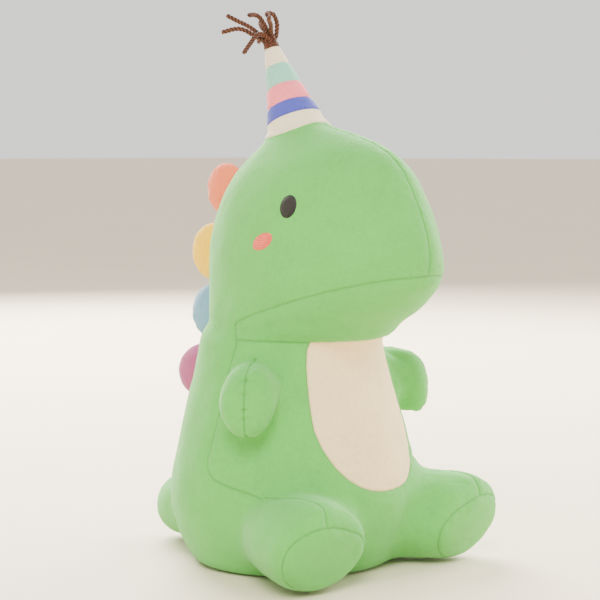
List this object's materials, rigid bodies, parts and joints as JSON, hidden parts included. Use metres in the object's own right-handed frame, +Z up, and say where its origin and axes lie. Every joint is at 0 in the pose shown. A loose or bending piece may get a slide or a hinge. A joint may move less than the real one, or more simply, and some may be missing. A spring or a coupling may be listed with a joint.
{
  "type": "stuffed dinosaur",
  "caption": "Seated plush dinosaur with a round body, long head, stub arms and legs, short tail, padded back spikes and a banded cone hat with a yarn tuft",
  "frame": {"origin": "middle of the flat base panel's underside, where the toy sits", "axes": "+Z up through the hat, -Y the way the animal faces, +X towards its left side"},
  "size_m": [0.197, 0.2397, 0.3582],
  "materials": {
    "mint_plush": "matte",
    "cream_plush": "matte",
    "stuffing": "matte",
    "spike_salmon": "matte",
    "spike_yellow": "matte",
    "spike_blue": "matte",
    "spike_purple": "matte",
    "hat_cream": "matte",
    "hat_periwinkle": "matte",
    "hat_pink": "matte",
    "hat_mint": "matte",
    "yarn": "matte",
    "eye_thread": "matte",
    "cheek_thread": "matte"
  },
  "bodies": {
    "torso": {"torso_stuffing": "stuffing", "torso_side_panel_right": "mint_plush", "torso_side_panel_left": "mint_plush", "front_panel": "mint_plush", "tummy_panel": "cream_plush", "base_panel": "mint_plush"},
    "head": {"head_stuffing": "stuffing", "head_side_panel_right": "mint_plush", "head_side_panel_left": "mint_plush", "chin_panel": "mint_plush", "eye_right": "eye_thread", "eye_left": "eye_thread", "cheek_right": "cheek_thread", "cheek_left": "cheek_thread"},
    "hat": {"hat_stuffing": "stuffing", "hat_base_strip": "hat_cream", "hat_band_periwinkle": "hat_periwinkle", "hat_band_pink": "hat_pink", "hat_band_mint": "hat_mint", "hat_tip": "hat_cream", "tuft_binding": "yarn", "yarn_strand_1": "yarn", "yarn_strand_2": "yarn", "yarn_strand_3": "yarn", "yarn_strand_4": "yarn", "yarn_strand_5": "yarn", "yarn_strand_6": "yarn", "yarn_strand_7": "yarn", "yarn_strand_8": "yarn"},
    "arm_right": {"arm_stuffing_right": "stuffing", "arm_front_right": "mint_plush", "arm_back_right": "mint_plush"},
    "arm_left": {"arm_stuffing_left": "stuffing", "arm_front_left": "mint_plush", "arm_back_left": "mint_plush"},
    "leg_right": {"leg_stuffing_right": "stuffing", "leg_outer_panel_right": "mint_plush", "leg_inner_panel_right": "mint_plush", "sole_right": "mint_plush"},
    "leg_left": {"leg_stuffing_left": "stuffing", "leg_outer_panel_left": "mint_plush", "leg_inner_panel_left": "mint_plush", "sole_left": "mint_plush"},
    "tail": {"tail_stuffing": "stuffing", "tail_cover_right": "mint_plush", "tail_cover_left": "mint_plush"},
    "spike_salmon": {"spike_stuffing_salmon": "stuffing", "spike_cover_right_salmon": "spike_salmon", "spike_cover_left_salmon": "spike_salmon"},
    "spike_yellow": {"spike_stuffing_yellow": "stuffing", "spike_cover_right_yellow": "spike_yellow", "spike_cover_left_yellow": "spike_yellow"},
    "spike_blue": {"spike_stuffing_blue": "stuffing", "spike_cover_right_blue": "spike_blue", "spike_cover_left_blue": "spike_blue"},
    "spike_purple": {"spike_stuffing_purple": "stuffing", "spike_cover_right_purple": "spike_purple", "spike_cover_left_purple": "spike_purple"}
  },
  "joints": [
    {"name": "neck_nod", "type": "hinge", "parent": "torso", "child": "head", "pos_m": [0, 0, 0.15], "axis": [1, 0, 0], "range_deg": [-2, 4], "stiffness_Nm_per_rad": 3},
    {"name": "hat_tip", "type": "hinge", "parent": "head", "child": "hat", "pos_m": [0, -0.005, 0.2824], "axis": [1, 0, 0], "range_deg": [-6, 6], "stiffness_Nm_per_rad": 0.08},
    {"name": "arm_swing_right", "type": "hinge", "parent": "torso", "child": "arm_right", "pos_m": [-0.06247, -0.0274, 0.116], "axis": [-0.3907, 0.9205, 0], "range_deg": [-9, 9], "stiffness_Nm_per_rad": 0.08},
    {"name": "leg_lift_right", "type": "hinge", "parent": "torso", "child": "leg_right", "pos_m": [-0.05527, -0.06161, 0.0303], "axis": [-0.7314, 0.682, 0], "range_deg": [-1, 8], "stiffness_Nm_per_rad": 0.3},
    {"name": "arm_swing_left", "type": "hinge", "parent": "torso", "child": "arm_left", "pos_m": [0.06247, -0.0274, 0.116], "axis": [-0.3907, -0.9205, 0], "range_deg": [-9, 9], "stiffness_Nm_per_rad": 0.08},
    {"name": "leg_lift_left", "type": "hinge", "parent": "torso", "child": "leg_left", "pos_m": [0.05527, -0.06161, 0.0303], "axis": [-0.7314, -0.682, 0], "range_deg": [-1, 8], "stiffness_Nm_per_rad": 0.3},
    {"name": "tail_lift", "type": "hinge", "parent": "torso", "child": "tail", "pos_m": [0, 0.07752, 0.0265], "axis": [1, 0, 0], "range_deg": [-1, 8], "stiffness_Nm_per_rad": 0.25},
    {"name": "spike_flop_salmon", "type": "hinge", "parent": "head", "child": "spike_salmon", "pos_m": [0, 0.05118, 0.236], "axis": [0, -0.6157, 0.788], "range_deg": [-8, 8], "stiffness_Nm_per_rad": 0.03},
    {"name": "spike_flop_yellow", "type": "hinge", "parent": "head", "child": "spike_yellow", "pos_m": [0, 0.06021, 0.198], "axis": [0, -0.1392, 0.9903], "range_deg": [-8, 8], "stiffness_Nm_per_rad": 0.03},
    {"name": "spike_flop_blue", "type": "hinge", "parent": "head", "child": "spike_blue", "pos_m": [0, 0.05401, 0.16], "axis": [0, 0.0698, 0.9976], "range_deg": [-8, 8], "stiffness_Nm_per_rad": 0.03},
    {"name": "spike_flop_purple", "type": "hinge", "parent": "torso", "child": "spike_purple", "pos_m": [0, 0.06521, 0.121], "axis": [0, 0.1736, 0.9848], "range_deg": [-8, 8], "stiffness_Nm_per_rad": 0.03}
  ]
}
